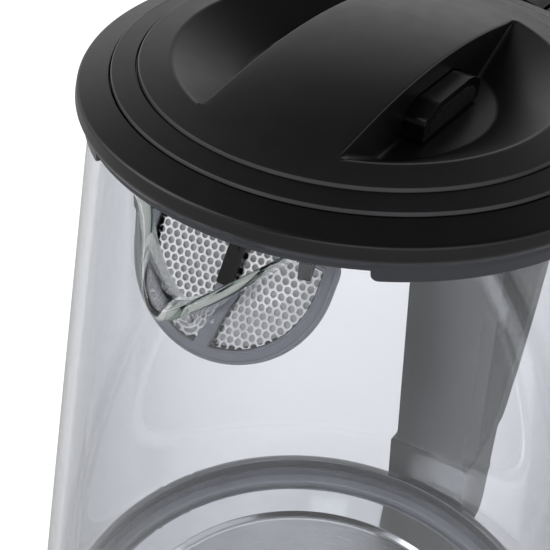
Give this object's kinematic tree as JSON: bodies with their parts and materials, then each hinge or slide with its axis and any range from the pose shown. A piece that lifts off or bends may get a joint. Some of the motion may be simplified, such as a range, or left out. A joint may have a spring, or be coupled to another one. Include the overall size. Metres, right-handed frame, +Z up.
{
  "type": "electric kettle",
  "caption": "Cordless electric kettle: tapered glass jug with V spout, black lid and collar, rear handle with switch, steel band and a turning power base.",
  "frame": {"origin": "middle of the power base's flat underside, on the jug's axis; the table is 2.3 mm below it, under the rubber feet", "axes": "+Z up along the jug's axis, -Y towards the spout, +Y towards the handle, +X to the right seen from the spout"},
  "size_m": [0.168, 0.231, 0.2455],
  "materials": {
    "black_plastic": "satin, fine grain",
    "slate_plastic": "satin",
    "clear_glass": "polished",
    "brushed_steel": "brushed",
    "polished_steel": "polished",
    "black_rubber": "matte",
    "grey_silicone": "matte, slightly translucent",
    "aluminium": "as cast",
    "brass": "plain",
    "nylon": "moulded"
  },
  "bodies": {
    "power_base": {"base_top_shell": "black_plastic", "base_bottom_cover": "black_plastic", "base_screw_1": "brushed_steel", "base_screw_2": "brushed_steel", "base_screw_3": "brushed_steel", "base_foot_1": "black_rubber", "base_foot_2": "black_rubber", "base_foot_3": "black_rubber", "base_foot_4": "black_rubber", "base_connector": "nylon", "base_ring_contact": "brass", "base_pin_contact": "brass", "cord_gland": "black_rubber"},
    "connector": {"jug_connector": "nylon", "ring_blade": "brass", "centre_pin": "brass"},
    "jug": {"glass_jug": "clear_glass", "collar": "black_plastic", "collar_seal": "black_rubber", "filter_frame": "slate_plastic", "filter_mesh": "brushed_steel", "base_band": "brushed_steel", "jug_base_shell": "black_plastic", "glass_seal": "grey_silicone", "heater_plate": "polished_steel", "heat_spreader": "aluminium", "heating_element": "aluminium", "control_unit": "nylon", "jug_screw_1": "brushed_steel", "jug_screw_2": "brushed_steel", "jug_screw_3": "brushed_steel", "trip_pin": "brushed_steel", "handle_cover": "black_plastic", "handle_frame": "black_plastic", "handle_strip": "black_plastic", "handle_foot": "black_plastic", "handle_screw_left": "brushed_steel", "handle_screw_right": "brushed_steel", "foot_screw_left": "brushed_steel", "foot_screw_right": "brushed_steel", "bimetal_disc": "brass", "steam_tube": "grey_silicone", "switch_pin": "brushed_steel"},
    "switch": {"switch_lever": "black_plastic"},
    "trip": {"trip_lever": "nylon"},
    "lid": {"lid_top": "black_plastic", "lid_plug": "black_plastic", "lid_seal": "grey_silicone", "lid_screw_1": "brushed_steel", "lid_screw_2": "brushed_steel", "lid_spring_left": "brushed_steel", "lid_spring_right": "brushed_steel"},
    "button_left": {"lid_button_left": "black_plastic", "lid_latch_left": "black_plastic"},
    "button_right": {"lid_button_right": "black_plastic", "lid_latch_right": "black_plastic"}
  },
  "joints": [
    {"name": "jug_lift", "type": "slide", "parent": "power_base", "child": "connector", "axis": [0, 0, 1], "range_m": [0, 0.06]},
    {"name": "jug_swivel", "type": "hinge", "parent": "connector", "child": "jug", "pos_m": [0, 0, 0.0137], "axis": [0, 0, 1], "continuous": true},
    {"name": "switch_press", "type": "hinge", "parent": "jug", "child": "switch", "pos_m": [0, 0.097, 0.0277], "axis": [1, 0, 0], "range_deg": [-10, 0]},
    {"name": "trip_turn", "type": "hinge", "parent": "jug", "child": "trip", "pos_m": [0, 0.04, 0.0251], "axis": [1, 0, 0], "range_deg": [0, 7.5]},
    {"name": "lid_lift", "type": "slide", "parent": "jug", "child": "lid", "axis": [0, 0, 1], "range_m": [0, 0.05]},
    {"name": "button_left_press", "type": "slide", "parent": "lid", "child": "button_left", "axis": [1, 0, 0], "range_m": [0, 0.004], "stiffness_N_per_m": 300, "springref_m": -0.002, "deforming": ["lid_spring_left"]},
    {"name": "button_right_press", "type": "slide", "parent": "lid", "child": "button_right", "axis": [-1, 0, 0], "range_m": [0, 0.004], "stiffness_N_per_m": 300, "springref_m": -0.002, "deforming": ["lid_spring_right"]}
  ],
  "couplings": [
    {"joint": "trip_turn", "follows": "switch_press", "ratio": -0.75}
  ]
}
